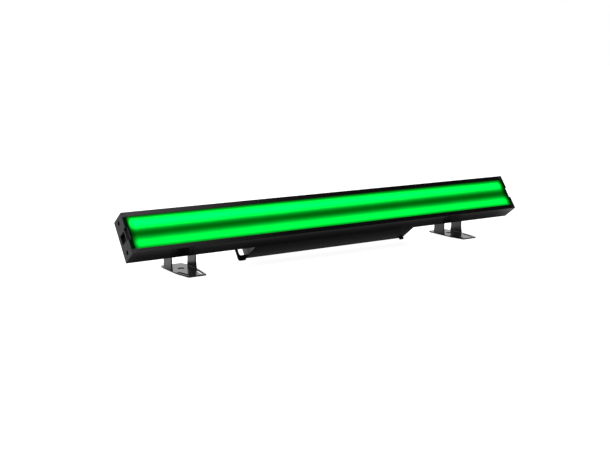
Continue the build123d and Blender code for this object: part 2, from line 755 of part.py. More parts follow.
def safety_eyelet():
    screw_holes = [rod_d(1.6, grown(EYELET_D, 1), x, w) for x, w in EYELET_SCREW_PLACES]
    return through_depth(eyelet_outline(), EYELET_D) - screw_holes


BUMPER_X = BOX_END - 5.6
BUMPER_SIZE = (11.0, 7.0)
BUMPER_DROP = 4.3


def rubber_bumper():
    """Bumper under the cover's rim, which keeps the housing off the floor at a steep tilt."""
    foot = Pos(BUMPER_X, COVER_RIM + COVER_DEPTH / 2, -BUMPER_DROP / 2) * Box(*BUMPER_SIZE, BUMPER_DROP)
    foot = fillet(foot.edges().filter_by(Axis.Z), 2.5)
    return fillet(foot.faces().sort_by(Axis.Z)[0].edges(), 1.2)


# ---- yoke mounts and feet ------------------------------------------------------------

EAR = 2.5
ARM_INSIDE = FOOT_WIDTH / 2 - PLATE
WASHER = 0.8
EAR_OUTSIDE = ARM_INSIDE - WASHER - 0.25
EAR_R = 13.0
YOKE_HALF_W = 25.0
NUT_THICK = 6.5
KNOB_WASHER = 1.2


def yoke_ear_outline():
    """One ear in d and w: a wide foot on the bar narrowing to a round end at the hinge."""
    foot = [(REAR, MID - YOKE_HALF_W), (REAR + 8, MID - YOKE_HALF_W), (HINGE_D, MID - EAR_R),
            (HINGE_D, MID + EAR_R), (REAR + 8, MID + YOKE_HALF_W), (REAR, MID + YOKE_HALF_W)]
    outline = make_face(Polyline(*foot, close=True)) + Pos(HINGE_D, MID) * Circle(EAR_R)
    return outline - Pos(HINGE_D, MID) * Circle(STUD_R + RUNNING)


def yoke_mount(side):
    """Folded channel on the bar's rear wall, with an ear each side of the hinge."""
    centre = side * FOOT_X
    plate = block(grown((centre, centre), EAR_OUTSIDE), (REAR, REAR + EAR), grown((MID, MID), YOKE_HALF_W))
    ear = yoke_ear_outline()
    mount = plate
    mount += along_bar(ear, (centre + EAR_OUTSIDE - EAR, centre + EAR_OUTSIDE))
    mount += along_bar(ear, (centre - EAR_OUTSIDE, centre - EAR_OUTSIDE + EAR))
    through = (REAR - 1, REAR + EAR + 1)
    return mount - [rod_d(NUT_HOLE_R, through, centre + x, w) for x, w in yoke_screw_places()]


def yoke_mount_screws():
    seat = REAR + EAR
    screws = []
    for side in SIDES.values():
        for x, w in yoke_screw_places():
            x_at = side * FOOT_X + x
            head = rod_d(3.6, (seat, seat + 2.4), x_at, w)
            screws.append(head + rod_d(NUT_HOLE_R - RUNNING, (FLOOR_OF_BAR + FIT, seat), x_at, w))
    return screws


def hinge_places():
    """Each arm of each foot: the foot's centre and the outward direction along x."""
    return [(side * FOOT_X, way) for side in SIDES.values() for way in (-1, 1)]


def outward(centre, way, near, far):
    """Limits along x from two distances out from a foot's centre."""
    return tuple(sorted((centre + way * near, centre + way * far)))


def pivot_nuts():
    """Weld nuts inside the ears."""
    nuts = []
    for centre, way in hinge_places():
        x = outward(centre, way, EAR_OUTSIDE - EAR - NUT_THICK, EAR_OUTSIDE - EAR)
        nut = hexagon_x(13.0, x, HINGE_D, MID)
        nuts.append(nut - rod_x(STUD_R + RUNNING, (x[0] - 1, x[1] + 1), HINGE_D, MID))
    return nuts


def washers(radius, near, far):
    rings = []
    for centre, way in hinge_places():
        x = outward(centre, way, near, far)
        ring = rod_x(radius, x, HINGE_D, MID)
        rings.append(ring - rod_x(STUD_R + RUNNING, (x[0] - 1, x[1] + 1), HINGE_D, MID))
    return rings


def friction_washers():
    """Fibre washers between ear and arm."""
    return washers(12.0, EAR_OUTSIDE, EAR_OUTSIDE + WASHER)


def knob_washers():
    """Plain washers under the knobs."""
    near = FOOT_WIDTH / 2 + 0.15
    return washers(9.0, near, near + KNOB_WASHER)


KNOB_BASE = FOOT_WIDTH / 2 + 0.15 + KNOB_WASHER + 0.15
KNOB_HEIGHT = 15.0
KNOB_HUB_R = 8.0
KNOB_HUB = 3.0
LOBES = 5


def clamp_stud(centre, way):
    """Threaded stud moulded into a knob and screwed through ear and nut."""
    x = outward(centre, way, EAR_OUTSIDE - EAR - NUT_THICK - 1, KNOB_BASE + 9)
    return chamfer(rod_x(STUD_R, x, HINGE_D, MID).edges().filter_by(GeomType.CIRCLE), 0.5)


def knob_section():
    """Five-lobed star outline about its own centre."""
    star = Circle(KNOB_R)
    bite = Pos(KNOB_R + 4.2, 0) * Circle(7.0)
    star -= ring_of(bite, LOBES)
    return fillet(star.vertices(), 1.5)


def clamp_knob(centre, way):
    grip_x = outward(centre, way, KNOB_BASE + KNOB_HUB, KNOB_BASE + KNOB_HEIGHT)
    grip = along_bar(Pos(HINGE_D, MID) * knob_section(), grip_x)
    outer = grip.faces().sort_by(Axis.X)[-1 if way > 0 else 0]
    grip = fillet(outer.edges(), 1.5)
    hub = rod_x(KNOB_HUB_R, outward(centre, way, KNOB_BASE, KNOB_BASE + KNOB_HUB + 1), HINGE_D, MID)
    return grip + hub - clamp_stud(centre, way)


FOOT_FRONT_WIDTH = 39.0
FOOT_REAR_WIDTH = 47.0
ARM_ROOT = 3.0           # extra width of an arm at the base plate
BASE_HOLE_R = 7.25       # coarse clearance hole for an M12 bolt
BASE_HOLE_AHEAD = 4.5    # its centre lies this far ahead of the hinge
SLOT_WIDTH = 7.0
SLOT_FRONT = (15.0, 10.0) # out from the foot's middle, and in from the base's front edge
SLOT_REAR = (19.8, 43.0)
BEND = 3.6               # outside radius of the folds


def base_outline(centre):
    """Base plate in x and y: full width at the arms, tapering forwards and rearwards."""
    arm_front = HINGE_Y - ARM_WIDTH / 2 - ARM_ROOT
    arm_rear = HINGE_Y + ARM_WIDTH / 2 + ARM_ROOT
    half = [
        (FOOT_FRONT_WIDTH / 2, HINGE_Y - FOOT_FORWARD),
        (FOOT_WIDTH / 2, arm_front),
        (FOOT_WIDTH / 2, arm_rear),
        (FOOT_REAR_WIDTH / 2, HINGE_Y + FOOT_REARWARD),
    ]
    right = [(centre + x, y) for x, y in half]
    left = [(centre - x, y) for x, y in reversed(half)]
    plate = make_face(Polyline(*(right + left), close=True))
    corners = plate.vertices().group_by(Axis.Y)
    plate = fillet(corners[0] + corners[-1], 2.0)
    plate -= Pos(centre, HINGE_Y - BASE_HOLE_AHEAD) * Circle(BASE_HOLE_R)
    for way in (-1, 1):
        front, rear = [
            (centre + way * out, HINGE_Y - FOOT_FORWARD + back) for out, back in (SLOT_FRONT, SLOT_REAR)
        ]
        run = (Vector(*rear) - Vector(*front)).length
        plate -= slot_place(front, rear) * SlotCenterToCenter(run, SLOT_WIDTH)
    return plate


def slot_place(start, end):
    """Where a slot lies, from the centres of its two round ends."""
    middle = (Vector(*start) + Vector(*end)) * 0.5
    along = Vector(*end) - Vector(*start)
    return Location((middle.X, middle.Y, 0), (0, 0, Vector(1, 0, 0).get_signed_angle(along, Vector(0, 0, 1))))


def arm_outline():
    """One arm in y and z, a little wider at its root, with a round top about the hinge."""
    root = ARM_WIDTH / 2 + ARM_ROOT
    top = ARM_WIDTH / 2
    corners = [(HINGE_Y - root, 0), (HINGE_Y + root, 0), (HINGE_Y + top, 16),
               (HINGE_Y + top, HINGE_HEIGHT), (HINGE_Y - top, HINGE_HEIGHT), (HINGE_Y - top, 16)]
    outline = make_face(Polyline(*corners, close=True))
    outline += Pos(HINGE_Y, HINGE_HEIGHT) * Circle(ARM_WIDTH / 2)
    return outline - Pos(HINGE_Y, HINGE_HEIGHT) * Circle(STUD_R + RUNNING)


def foot_bracket(side):
    """Plate folded into a U: base on the floor, an arm each side of the yoke mount."""
    centre = side * FOOT_X
    bracket = extrude(base_outline(centre), PLATE)
    for way in (-1, 1):
        x = outward(centre, way, ARM_INSIDE, FOOT_WIDTH / 2)
        bracket += along_bar(arm_outline(), x)
    folds = bracket.edges().filter_by(Axis.Y)
    outer = [edge for edge in folds if fold_at(edge, centre, FOOT_WIDTH / 2, 0)]
    bracket = fillet(outer, BEND)
    inner = [edge for edge in bracket.edges().filter_by(Axis.Y) if fold_at(edge, centre, ARM_INSIDE, PLATE)]
    return fillet(inner, BEND - PLATE)


def fold_at(edge, centre, out, height):
    """Whether an edge lies at this distance out from a foot's middle and at this height."""
    place = edge.center()
    return abs(place.Z - height) < 0.1 and abs(abs(place.X - centre) - out) < 0.1


# ---- writing -------------------------------------------------------------------------

def fixed_on_bar():
    """Nodes that tilt with the bar, drawn in the bar's own axes."""
    left_cap = end_cap_left()
    power = power_socket()
    nodes = {
        "housing_extrusion": housing_extrusion(),
        "diffuser_lens": diffuser_lens(),
        "end_cap_left": left_cap,
        "end_cap_right": mirrored(left_cap),
        "end_cap_screws": end_cap_screws(),
        "reflector_tray": reflector_tray(),
        "led_board_screws": led_board_screws(),
        "rear_housing": rear_housing(),
        "rear_housing_screws": rear_housing_screws(),
        "rear_cover": rear_cover(),
        "rear_cover_posts": cover_posts(),
        "rear_cover_screws": cover_screws(),
        "control_board": control_board(),
        "control_board_spacers": board_spacers(),
        "tact_switches": tact_switches(),
        "display_module": display_module(),
        "display_window": display_window(),
        "fuse_holder": fuse_holder(),
        "fuse_cap": fuse_cap(),
        "fuse": fuse(),
        "power_inlet": power,
        "power_outlet": mirrored(power),
        "data_inlet": data_inlet(),
        "data_inlet_pins": data_inlet_pins(),
        "data_outlet": data_outlet(),
        "data_latch_button": data_latch_button(),
        "socket_screws": socket_screws(),
        "power_supply": power_supply(),
        "driver_board": driver_board(),
        "driver_components": driver_components(),
        "mounting_pillars": mounting_pillars(),
        "cable_grommet": cable_grommet(),
        "led_feed_cable": led_feed_cable(),
        "supply_cable": supply_cable(),
        "safety_eyelet": safety_eyelet(),
        "rubber_bumper": rubber_bumper(),
        "yoke_mount_screws": yoke_mount_screws(),
        "pivot_nuts": pivot_nuts(),
        "friction_washers": friction_washers(),
        "knob_washers": knob_washers(),
    }
    for row in LED_ROWS:
        nodes["led_board_" + row] = led_board(row)
        nodes["led_chips_" + row] = led_chips(row)
    for name, side in SIDES.items():
        nodes["yoke_mount_" + name] = yoke_mount(side)
        for edge, way in (("outer", side), ("inner", -side)):
            nodes["clamp_knob_" + name + "_" + edge] = clamp_knob(side * FOOT_X, way)
            nodes["clamp_stud_" + name + "_" + edge] = clamp_stud(side * FOOT_X, way)
    for number, x in enumerate(button_xs(), start=1):
        nodes["menu_button_" + str(number)] = menu_button(x)
    return nodes


def write(name, shape):
    """One STEP file per node; a group of like pieces is a compound of its solids."""
    solids = []
    for piece in shape if isinstance(shape, list) else [shape]:
        solids += piece.solids()
    export_step(Compound(children=solids), "parts/" + name + ".step")


def main():
    os.makedirs("parts", exist_ok=True)
    for name, shape in fixed_on_bar().items():
        pieces = shape if isinstance(shape, list) else [shape]
        write(name, [ON_BAR * piece for piece in pieces])
    for name, side in SIDES.items():
        write("foot_bracket_" + name, foot_bracket(side))


main()
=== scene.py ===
"""Looks of the LED strip batten: materials, small detail pieces, camera, floor and light.

Everything is in metres in the row's own frame. The bar's own axes are used for what lies on it:
x along the bar, d the depth behind its front face, w the height up its front face.
"""

import json
import math

import bmesh
import bpy
from mathutils import Matrix, Vector


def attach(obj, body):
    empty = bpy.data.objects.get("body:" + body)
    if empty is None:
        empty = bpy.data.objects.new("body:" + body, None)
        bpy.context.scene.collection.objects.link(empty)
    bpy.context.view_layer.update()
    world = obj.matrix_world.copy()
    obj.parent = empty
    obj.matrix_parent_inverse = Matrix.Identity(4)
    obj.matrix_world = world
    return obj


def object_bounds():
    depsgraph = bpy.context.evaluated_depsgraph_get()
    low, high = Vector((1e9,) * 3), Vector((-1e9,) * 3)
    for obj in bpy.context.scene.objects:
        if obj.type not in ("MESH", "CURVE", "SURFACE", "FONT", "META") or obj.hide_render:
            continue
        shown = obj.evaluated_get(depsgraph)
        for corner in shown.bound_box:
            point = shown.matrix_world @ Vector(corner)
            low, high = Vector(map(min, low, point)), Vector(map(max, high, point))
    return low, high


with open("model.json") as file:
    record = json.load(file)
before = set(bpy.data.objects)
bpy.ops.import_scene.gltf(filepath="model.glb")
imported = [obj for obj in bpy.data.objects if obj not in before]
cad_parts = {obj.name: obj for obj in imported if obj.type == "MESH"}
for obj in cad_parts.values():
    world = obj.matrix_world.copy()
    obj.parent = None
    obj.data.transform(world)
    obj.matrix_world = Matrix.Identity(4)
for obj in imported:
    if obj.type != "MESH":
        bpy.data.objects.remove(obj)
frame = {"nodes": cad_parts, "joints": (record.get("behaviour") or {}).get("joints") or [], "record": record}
cad_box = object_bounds()

MM = 0.001

# ---- the bar's own axes --------------------------------------------------------------

JOINTS = {joint["name"]: joint for joint in frame["joints"]}
TILT = math.radians(-JOINTS["foot_left_tilt"]["range_deg"][0])
HINGE = Vector((0, *JOINTS["foot_left_tilt"]["pos_m"][1:]))
HINGE_D = 73.5 * MM      # hinge line behind the front face
MID = 45 * MM            # hinge line above the face's lower edge
BAR_TURN = Matrix.Rotation(-TILT, 4, "X")
ON_BAR = Matrix.Translation(HINGE) @ BAR_TURN @ Matrix.Translation((0, -HINGE_D, -MID))
END = cad_box[1][0]      # the bar's ends, from its middle


def on_bar(x, d, w):
    """A point of the row frame from its place on the bar, in millimetres."""
    return ON_BAR @ Vector((x * MM, d * MM, w * MM))


# ---- material helper -----------------------------------------------------------------

class Paint:
    """One material's node graph, with short ways to add and link nodes."""

    def __init__(self, name):
        self.material = bpy.data.materials.new(name)
        self.material.use_nodes = True
        self.tree = self.material.node_tree
        self.tree.nodes.clear()
        self.shader = self.node("ShaderNodeBsdfPrincipled")
        output = self.node("ShaderNodeOutputMaterial")
        self.link(self.shader.outputs["BSDF"], output.inputs["Surface"])
        self.place = self.node("ShaderNodeTexCoord").outputs["Object"]

    def node(self, kind, **settings):
        """A new node with its settings."""
        made = self.tree.nodes.new(kind)
        for key, value in settings.items():
            setattr(made, key, value)
        return made

    def link(self, out, into):
        """A link from an output socket into an input socket."""
        self.tree.links.new(out, into)

    def set(self, **values):
        """Fixed values on the shader's own sockets, with _ for a space."""
        for key, value in values.items():
            self.shader.inputs[key.replace("_", " ")].default_value = value

    def emit(self, colour, strength):
        """One emitted colour, at a strength that a texture gives."""
        self.shader.inputs["Emission Color"].default_value = (*colour, 1)
        self.link(strength, self.shader.inputs["Emission Strength"])

    def noise(self, scale, detail=3.0, roughness=0.55, place=None, stretch=None):
        """Noise with features 1 / scale metres across."""
        texture = self.node("ShaderNodeTexNoise")
        texture.inputs["Scale"].default_value = scale
        texture.inputs["Detail"].default_value = detail
        texture.inputs["Roughness"].default_value = roughness
        place = place or self.place
        if stretch:
            mapping = self.node("ShaderNodeMapping")
            mapping.inputs["Scale"].default_value = stretch
            self.link(place, mapping.inputs["Vector"])
            place = mapping.outputs["Vector"]
        self.link(place, texture.inputs["Vector"])
        return texture.outputs["Fac"]

    def cells(self, scale):
        """Cells 1 / scale metres across, as the distance from each one's middle."""
        texture = self.node("ShaderNodeTexVoronoi")
        texture.inputs["Scale"].default_value = scale
        self.link(self.place, texture.inputs["Vector"])
        return texture.outputs["Distance"]

    def ramp(self, value, stops):
        """A colour ramp from (position, colour) stops."""
        ramp = self.node("ShaderNodeValToRGB")
        band = ramp.color_ramp
        while len(band.elements) < len(stops):
            band.elements.new(1.0)
        for element, (position, colour) in zip(band.elements, stops):
            element.position = position
            element.color = (*colour, 1.0)
        self.link(value, ramp.inputs["Fac"])
        return ramp.outputs["Color"]

    def range(self, value, old, new, smooth=False):
        """A value mapped from one range to another, clamped."""
        kind = "SMOOTHSTEP" if smooth else "LINEAR"
        mapped = self.node("ShaderNodeMapRange", interpolation_type=kind)
        for name, number in zip(("From Min", "From Max", "To Min", "To Max"), (*old, *new)):
            mapped.inputs[name].default_value = number
        self.link(value, mapped.inputs["Value"])
        return mapped.outputs["Result"]

    def math(self, operation, *values):
        """Arithmetic on values that are numbers or sockets."""
        made = self.node("ShaderNodeMath", operation=operation)
        for socket, value in zip(made.inputs, values):
            if isinstance(value, (int, float)):
                socket.default_value = value
            else:
                self.link(value, socket)
        return made.outputs["Value"]

    def split(self, vector):
        """The three parts of a vector."""
        made = self.node("ShaderNodeSeparateXYZ")
        self.link(vector, made.inputs["Vector"])
        return made.outputs

    def bar_place(self):
        """Object coordinates turned into the bar's own x, d and w."""
        turn = self.node("ShaderNodeVectorRotate", rotation_type="X_AXIS")
        turn.inputs["Center"].default_value = HINGE
        turn.inputs["Angle"].default_value = TILT
        self.link(self.place, turn.inputs["Vector"])
        shift = self.node("ShaderNodeVectorMath", operation="SUBTRACT")
        shift.inputs[1].default_value = HINGE - Vector((0, HINGE_D, MID))
        self.link(turn.outputs["Vector"], shift.inputs[0])
        return shift.outputs["Vector"]

    def colour(self, fac, low, high):
        """Base colour that varies between two shades with a texture."""
        self.link(self.ramp(fac, [(0.3, low), (0.7, high)]), self.shader.inputs["Base Color"])

    def rough(self, fac, low, high):
        """Roughness that varies between two values with a texture."""
        self.link(self.range(fac, (0.25, 0.75), (low, high)), self.shader.inputs["Roughness"])

    def bump(self, *layers, edge=0.0):
        """Bump from (height, strength, distance) layers, over softened edges of the given radius."""
        normal = None
        if edge:
            bevel = self.node("ShaderNodeBevel", samples=4)
            bevel.inputs["Radius"].default_value = edge
            normal = bevel.outputs["Normal"]
        for height, strength, distance in layers:
            made = self.node("ShaderNodeBump")
            made.inputs["Strength"].default_value = strength
            made.inputs["Distance"].default_value = distance
            self.link(height, made.inputs["Height"])
            if normal:
                self.link(normal, made.inputs["Normal"])
            normal = made.outputs["Normal"]
        self.link(normal, self.shader.inputs["Normal"])


# ---- materials -----------------------------------------------------------------------

def powder_coat(name, shade, roughness, grain):
    """Black powder coat: orange peel, a finer grain in it, and slight handling marks."""
    paint = Paint(name)
    cloud = paint.noise(9, detail=4)
    peel = paint.noise(420, detail=2)
    fine = paint.noise(grain, detail=2)
    low = tuple(c * 0.8 for c in shade)
    paint.colour(cloud, low, shade)
    marks = paint.noise(30, detail=6, stretch=(0.15, 1, 1))
    paint.rough(marks, roughness - 0.04, roughness + 0.05)
    paint.bump((peel, 0.45, 0.05 * MM), (fine, 0.35, 0.02 * MM), edge=0.35 * MM)
    return paint.material


def moulded_plastic(name, shade, roughness):
    """Plastic with a fine spark-eroded grain."""
    paint = Paint(name)
    cloud = paint.noise(14)
    sparkle = paint.cells(1600)
    low = tuple(c * 0.85 for c in shade)
    paint.colour(cloud, low, shade)
    paint.rough(paint.noise(60), roughness - 0.06, roughness + 0.06)
    paint.bump((sparkle, 0.5, 0.03 * MM), edge=0.3 * MM)
    return paint.material


# emitted colour at a share of twice the full brightness: bluer where it is brighter
GLOW = ((0.05, (0.0, 1.0, 0.002)), (0.1, (0.0, 1.0, 0.03)), (0.25, (0.0, 1.0, 0.052)),
        (1.0, (0.0, 1.0, 0.062)))
GLOW_FLOOR = 0.085               # brightness of the band between the rows
# each row's height on the face in mm, and its brightness at the left and right ends
GLOW_ROWS = ((22.0, 1.25, 1.25), (65.0, 3.1, 1.6))
GLOW_SPREAD = 10.0               # how far each row's light spreads in the lens, in mm
LENS_END = 490.0                 # where the lens goes behind the end caps, from the middle, in mm
# where the light is out and where it is full: near the ends, in mm inside LENS_END, and near
# the lower and upper lips, in mm up the face
GLOW_END = (-3.0, 14.0)
GLOW_EDGES = ((1.5, 18.0), (86.0, 69.5))


def row_light(paint, x, w, row):
    """Light of one LED row on the lens: a hump across the face, changing along it."""
    row_w, left, right = row
    brightness = paint.range(x, (-END, END), (left, right))
    offset = paint.math("DIVIDE", paint.math("SUBTRACT", w, row_w * MM), GLOW_SPREAD * MM)
    squared = paint.math("MULTIPLY", offset, offset)
    hump = paint.math("EXPONENT", paint.math("MULTIPLY", squared, -1))
    return paint.math("MULTIPLY", hump, brightness)


def border_fade(paint, x, w):
    """1 over most of the lens, fading out towards its ends and its lips."""
    def fade_in(value, dark, full):
        return paint.range(value, (dark * MM, full * MM), (0.0, 1.0), smooth=True)

    fade = fade_in(paint.math("SUBTRACT", LENS_END * MM, paint.math("ABSOLUTE", x)), *GLOW_END)
    for edge in GLOW_EDGES:
        fade = paint.math("MINIMUM", fade, fade_in(w, *edge))
    return fade


def lit_lens(name):
    """Opal lens lit from behind by two rows, darker towards the lips and the ends."""
    paint = Paint(name)
    x, _, w = paint.split(paint.bar_place())
    glow = GLOW_FLOOR
    for row in GLOW_ROWS:
        glow = paint.math("ADD", glow, row_light(paint, x, w, row))
    uneven = paint.range(paint.noise(18, stretch=(1, 0.3, 0.3)), (0.3, 0.7), (0.94, 1.06))
    glow = paint.math("MULTIPLY", glow, border_fade(paint, x, w))
    glow = paint.math("MULTIPLY", glow, uneven)
    tint = paint.ramp(paint.math("MULTIPLY", glow, 0.5), GLOW)
    paint.link(tint, paint.shader.inputs["Emission Color"])
    paint.link(glow, paint.shader.inputs["Emission Strength"])
    frost = paint.noise(2500, detail=2)
    paint.set(Roughness=0.5, Specular_IOR_Level=0.0)
    paint.link(paint.ramp(frost, [(0.3, (0.0, 0.012, 0.003)), (0.7, (0.0, 0.018, 0.005))]),
               paint.shader.inputs["Base Color"])
    paint.bump((frost, 0.15, 0.01 * MM))
    return paint.material


def plated_steel(name, shade, roughness, spangle=0.0):
    """Zinc-plated or galvanised steel, with drawn grain or spangle."""
    paint = Paint(name)
    paint.set(Metallic=1.0)
    grain = paint.cells(spangle) if spangle else paint.noise(600, stretch=(0.08, 1, 1))
    low = tuple(c * 0.72 for c in shade)
    paint.colour(grain, low, shade)
    paint.rough(grain, roughness - 0.08, roughness + 0.1)
    paint.bump((grain, 0.2, 0.02 * MM), edge=0.15 * MM)
    return paint.material


def black_oxide(name):
    """Blackened screw steel."""
    paint = Paint(name)
    paint.set(Metallic=0.7)
    turn = paint.noise(900, detail=2)
    paint.colour(turn, (0.012, 0.012, 0.013), (0.03, 0.03, 0.032))
    paint.rough(turn, 0.3, 0.45)
    paint.bump((turn, 0.2, 0.01 * MM), edge=0.15 * MM)
    return paint.material


def circuit_board(name, mask, copper):
    """Solder mask over thin copper tracks."""
    paint = Paint(name)
    tracks = paint.node("ShaderNodeTexBrick", offset=0.37, squash=0.6)
    tracks.inputs["Scale"].default_value = 220
    tracks.inputs["Mortar Size"].default_value = 0.035
    paint.link(paint.bar_place(), tracks.inputs["Vector"])
    mix = paint.ramp(tracks.outputs["Fac"], [(0.45, mask), (0.55, copper)])
    paint.link(mix, paint.shader.inputs["Base Color"])
    paint.rough(paint.noise(200), 0.3, 0.42)
    paint.bump((tracks.outputs["Fac"], 0.3, 0.03 * MM))
    return paint.material


def led_package(name):
    """Lit LED packages under silicone."""
    paint = Paint(name)
    cloud = paint.noise(300)
    paint.colour(cloud, (0.75, 0.75, 0.6), (0.9, 0.9, 0.75))
    paint.emit((0.05, 1.0, 0.25), paint.range(cloud, (0.2, 0.8), (1.6, 2.4)))
    paint.rough(cloud, 0.15, 0.25)
    return paint.material


def matt_white(name):
    """Matt white reflector sheet."""
    paint = Paint(name)
    cloud = paint.noise(40)
    paint.colour(cloud, (0.84, 0.84, 0.82), (0.9, 0.9, 0.88))
    paint.rough(cloud, 0.55, 0.7)
    paint.bump((paint.noise(900), 0.15, 0.02 * MM))
    return paint.material


def soft_rubber(name, shade=(0.012, 0.012, 0.012)):
    """Matt rubber or fibre, a little dusty."""
    paint = Paint(name)
    dust = paint.noise(120, detail=5)
    paint.colour(dust, shade, tuple(c * 1.8 for c in shade))
    paint.rough(dust, 0.65, 0.85)
    paint.bump((paint.noise(1500), 0.3, 0.03 * MM))
    return paint.material


def smoked_window(name):
    """Polished smoked acrylic, with light smears."""
    paint = Paint(name)
    smear = paint.noise(25, detail=5, stretch=(1, 0.3, 1))
    paint.colour(smear, (0.006, 0.006, 0.008), (0.01, 0.01, 0.012))
    paint.rough(smear, 0.04, 0.12)
    paint.set(Alpha=0.35)
    return paint.material


def clear_glass(name):
    """Clear glass, faintly streaked."""
    paint = Paint(name)
    streak = paint.noise(200)
    paint.colour(streak, (0.85, 0.9, 0.9), (0.95, 0.98, 0.98))
    paint.rough(streak, 0.03, 0.08)
    paint.set(Transmission_Weight=0.9, IOR=1.5)
    return paint.material


def contact_metal(name):
    """Gold-plated contacts."""
    paint = Paint(name)
    paint.set(Metallic=1.0)
    grain = paint.noise(800)
    paint.colour(grain, (0.62, 0.42, 0.14), (0.85, 0.64, 0.28))
    paint.rough(grain, 0.18, 0.3)
    return paint.material


def component_plastic(name):
    """Dark moulded packages with a lighter grey here and there."""
    paint = Paint(name)
    patch = paint.cells(70)
    paint.colour(patch, (0.015, 0.015, 0.017), (0.06, 0.06, 0.065))
    paint.rough(paint.noise(400), 0.45, 0.6)
    paint.bump((paint.noise(1200), 0.2, 0.02 * MM))
    return paint.material


def display_glow(name):
    """Lit segments of the display."""
    paint = Paint(name)
    cloud = paint.noise(400)
    paint.set(Base_Color=(0.02, 0.02, 0.02, 1))
    paint.emit((1.0, 0.12, 0.03), paint.range(cloud, (0.2, 0.8), (3.2, 3.8)))
    return paint.material


def panel_ink(name):
    """Pale screen-printed marks."""
    paint = Paint(name)
    cloud = paint.noise(700, detail=4)
    paint.colour(cloud, (0.5, 0.5, 0.5), (0.66, 0.66, 0.66))
    paint.rough(cloud, 0.5, 0.6)
    return paint.material


FLOOR_SEEN = 0.94        # brightness of the floor to the camera, before the light that falls on it
SHADE_SEEN = 0.35        # the floor's own shade to the camera
SHADE_REFLECTED = 0.08
# painted light and shade of the floor in the object's reflections: a painted shadow under the bar, and
# painted light behind it, ahead of it and past its ends
PAINTED_SHADOW_UNDER = 0.015
FLOOR_BEHIND = 1.0
FLOOR_AHEAD = 0.25
FLOOR_NEAR = 0.09        # added just ahead of the bar
FLOOR_LEFT = 0.36
FLOOR_RIGHT = 0.7
FLOOR_RIGHT_UNDER = 0.25
# where those brightnesses begin and where they are full: in y, or in metres past the bar's ends
BEHIND_YS = (-0.01, 0.1)
AHEAD_YS = (-0.01, -0.1)
NEAR_YS = (-0.022, -0.030)
PAST_END = 0.07


def floor_painted_light(name):
    """Pale studio floor to the camera, which in reflections shows painted light behind the object and past
    its ends and a painted shadow underneath it.
    """
    paint = Paint(name)
    seen = paint.node("ShaderNodeLightPath").outputs["Is Camera Ray"]
    shade = paint.ramp(seen, [(0.0, (SHADE_REFLECTED,) * 3), (1.0, (SHADE_SEEN,) * 3)])
    paint.link(shade, paint.shader.inputs["Base Color"])
    paint.rough(paint.noise(1.5), 0.8, 0.9)
    paint.set(Specular_IOR_Level=0.0)
    x, y, _ = paint.split(paint.place)

    def rise(value, span, top=1.0):
        return paint.range(value, span, (0.0, top), smooth=True)

    near = rise(y, NEAR_YS)
    # a painted shadow under the bar, with painted light added behind it, ahead of it and just ahead of it
    lit = PAINTED_SHADOW_UNDER
    for patch in (rise(y, BEHIND_YS, FLOOR_BEHIND), rise(y, AHEAD_YS, FLOOR_AHEAD),
                  paint.math("MULTIPLY", near, FLOOR_NEAR)):
        lit = paint.math("ADD", lit, patch)
    # past each end painted light takes over, dimmer past the right end where it lies under the bar
    past_right = paint.range(near, (0.0, 1.0), (FLOOR_RIGHT_UNDER, FLOOR_RIGHT))
    for side, brightness in ((-1, FLOOR_LEFT), (1, past_right)):
        past = rise(x, (side * END, side * (END + PAST_END)))
        kept = paint.math("MULTIPLY", lit, paint.math("SUBTRACT", 1.0, past))
        lit = paint.math("ADD", kept, paint.math("MULTIPLY", past, brightness))
    glow = paint.math("MAXIMUM", lit, paint.math("MULTIPLY", seen, FLOOR_SEEN))
    # the floor glows with this painted light and shadow; to the camera it is evenly bright
    paint.emit((1, 1, 1), glow)
    return paint.material


MATERIALS = {
    "black_extrusion": powder_coat("black_extrusion", (0.004, 0.004, 0.0045), 0.15, 1500),
    "black_sheet": powder_coat("black_sheet", (0.006, 0.006, 0.0065), 0.32, 1300),
    # cover_sheet is a lighter copy of black_sheet: partly the rear cover's own lighter finish, partly
    # painted light that lifts it in views from behind
    "cover_sheet": powder_coat("cover_sheet", (0.012, 0.012, 0.0125), 0.32, 1300),
    "foot_sheet": powder_coat("foot_sheet", (0.005, 0.005, 0.0055), 0.21, 1300),
    "cap_plastic": moulded_plastic("cap_plastic", (0.013, 0.013, 0.0135), 0.24),
    "opal_lens": lit_lens("opal_lens"),
    "white_reflector": matt_white("white_reflector"),
    "circuit_board": circuit_board("circuit_board", (0.01, 0.12, 0.04), (0.02, 0.2, 0.07)),
    "led_board_white": circuit_board("led_board_white", (0.8, 0.8, 0.79), (0.7, 0.7, 0.68)),
    "led_package": led_package("led_package"),
    "zinc_steel": plated_steel("zinc_steel", (0.66, 0.67, 0.68), 0.3),
    "black_steel": black_oxide("black_steel"),
    "galvanised_case": plated_steel("galvanised_case", (0.6, 0.61, 0.62), 0.35, spangle=120),
    "connector_black": moulded_plastic("connector_black", (0.016, 0.016, 0.017), 0.42),
    "connector_blue": moulded_plastic("connector_blue", (0.015, 0.07, 0.32), 0.4),
    "connector_grey": moulded_plastic("connector_grey", (0.36, 0.37, 0.38), 0.42),
    "contact_metal": contact_metal("contact_metal"),
    "black_rubber": soft_rubber("black_rubber"),
    "smoked_window": smoked_window("smoked_window"),
    "fuse_glass": clear_glass("fuse_glass"),
    "fibre_washer": soft_rubber("fibre_washer", (0.05, 0.032, 0.022)),
    "cable_jacket": soft_rubber("cable_jacket", (0.03, 0.03, 0.033)),
    "component_mix": component_plastic("component_mix"),
}


def dress_nodes():
    """Each CAD node takes the material of its slot."""
    for part in frame["record"]["subparts"]:
        shown = frame["nodes"][part["node"]]
        material = MATERIALS[part["material_slot"]]
        for place in shown.material_slots:
            place.material = material
        if not shown.material_slots:
            shown.data.materials.append(material)


# ---- detail pieces -------------------------------------------------------------------

